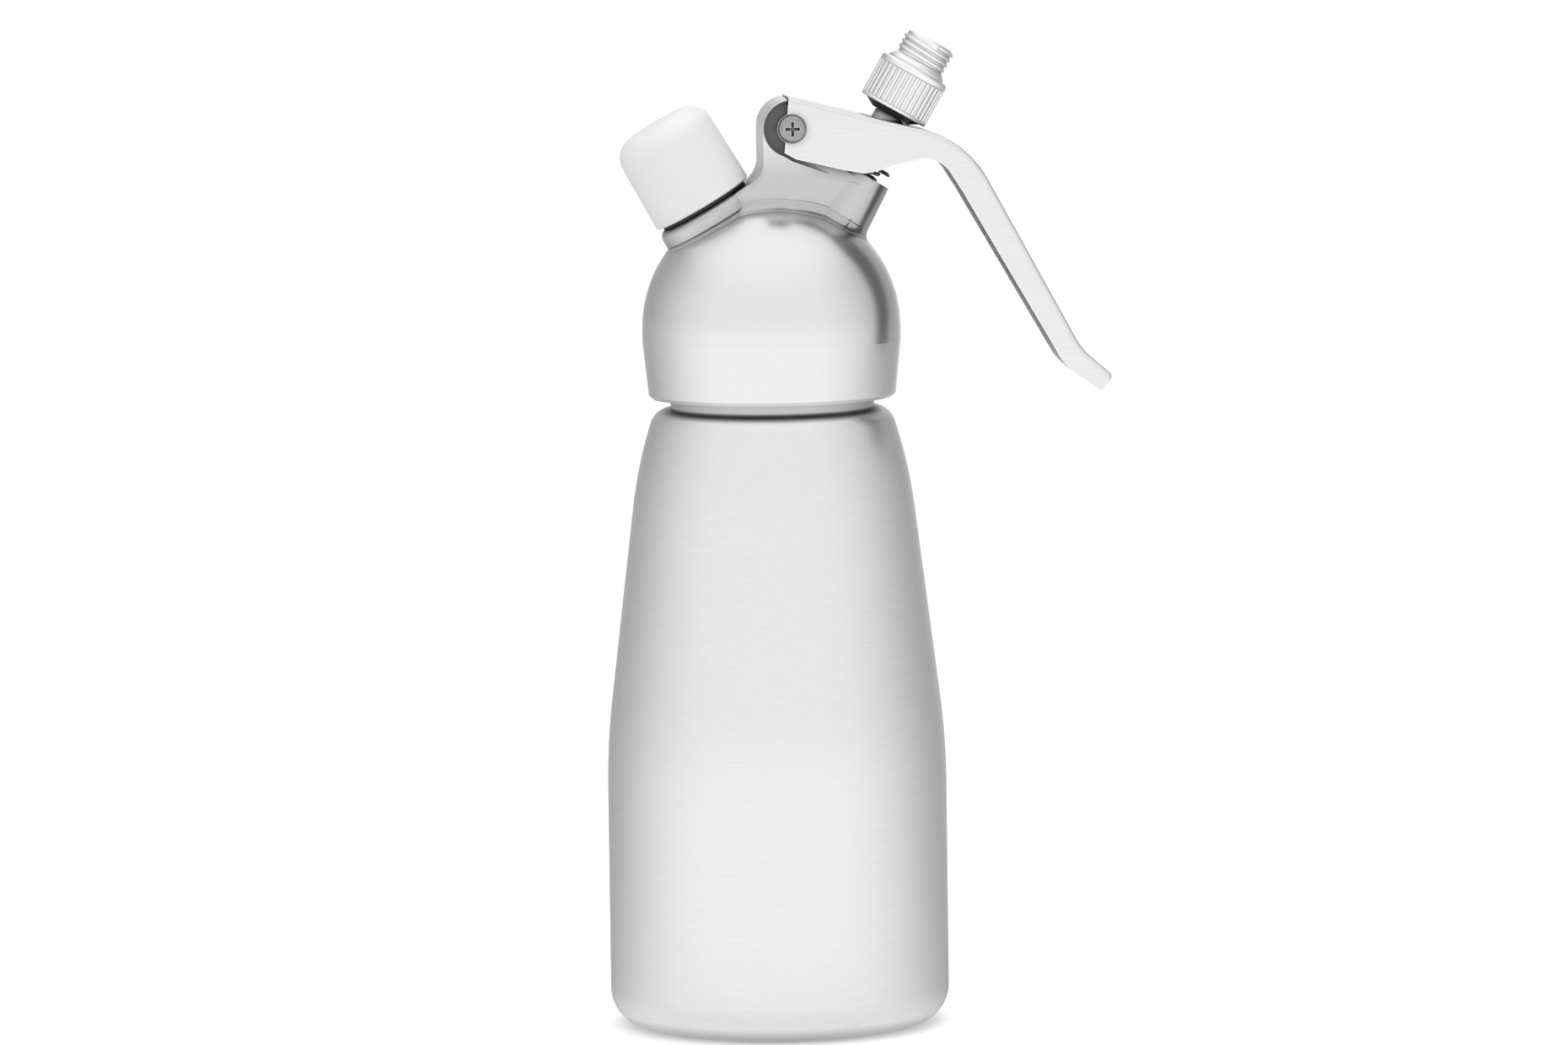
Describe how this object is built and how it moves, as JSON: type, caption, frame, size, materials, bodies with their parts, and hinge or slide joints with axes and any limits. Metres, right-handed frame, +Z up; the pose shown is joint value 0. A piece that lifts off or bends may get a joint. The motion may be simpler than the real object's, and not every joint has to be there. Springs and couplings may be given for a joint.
{
  "type": "whipped cream dispenser",
  "caption": "Brushed bottle with a screw-on domed head, a squeeze lever on a sprung dispensing valve, a fluted nozzle adapter and a capped charger inlet.",
  "frame": {"origin": "centre of the flat base, on the bottle axis", "axes": "+Z up the bottle axis, +X towards the lever handle, -Y towards the viewer who sees the screw head"},
  "size_m": [0.1193, 0.08, 0.2347],
  "materials": {
    "brushed_aluminium": "fine circumferential brushing",
    "cast_aluminium": "satin, finely brushed casting",
    "polished_alloy": "bright tumbled and polished",
    "satin_alloy": "satin turned",
    "stainless": "turned steel",
    "spring_steel": "drawn wire",
    "brass": "turned",
    "white_plastic": "fine matt moulded",
    "dark_plastic": "moulded",
    "black_rubber": "moulded",
    "grey_silicone": "moulded"
  },
  "bodies": {
    "bottle": {"bottle": "brushed_aluminium"},
    "head": {"head_casting": "cast_aluminium", "head_gasket": "grey_silicone", "valve_guide": "brass", "stem_ring": "black_rubber", "return_spring": "spring_steel", "inlet_spigot": "satin_alloy", "piercing_pin": "stainless", "inlet_seal": "black_rubber", "check_valve": "brass", "inlet_gasket": "black_rubber", "pivot_bush": "brass", "pivot_screw": "stainless", "front_washer": "stainless", "rear_washer": "stainless", "pivot_nut": "stainless"},
    "lever": {"lever": "polished_alloy"},
    "valve": {"valve_stem": "stainless", "press_disc": "dark_plastic", "valve_seal": "black_rubber", "seal_washer": "stainless", "stem_nut": "stainless", "adapter_gasket": "black_rubber"},
    "adapter": {"nozzle_adapter": "satin_alloy"},
    "cap": {"protective_cap": "white_plastic"}
  },
  "joints": [
    {"name": "head_lift", "type": "slide", "parent": "bottle", "child": "head", "axis": [0, 0, 1], "range_m": [0, 0.04]},
    {"name": "lever_squeeze", "type": "hinge", "parent": "head", "child": "lever", "pos_m": [0.0047, 0, 0.212], "axis": [0, 1, 0], "range_deg": [0, 6], "stiffness_Nm_per_rad": 1.2, "springref_deg": -6.88},
    {"name": "valve_press", "type": "slide", "parent": "head", "child": "valve", "axis": [-0.5, 0, -0.866], "range_m": [0, 0.0023], "deforming": ["return_spring"]},
    {"name": "adapter_lift", "type": "slide", "parent": "valve", "child": "adapter", "axis": [0.5, 0, 0.866], "range_m": [0, 0.025]},
    {"name": "cap_lift", "type": "slide", "parent": "head", "child": "cap", "axis": [-0.5, 0, 0.866], "range_m": [0, 0.045]}
  ],
  "couplings": [
    {"joint": "valve_press", "follows": "lever_squeeze", "m_per_rad": 0.01943}
  ]
}
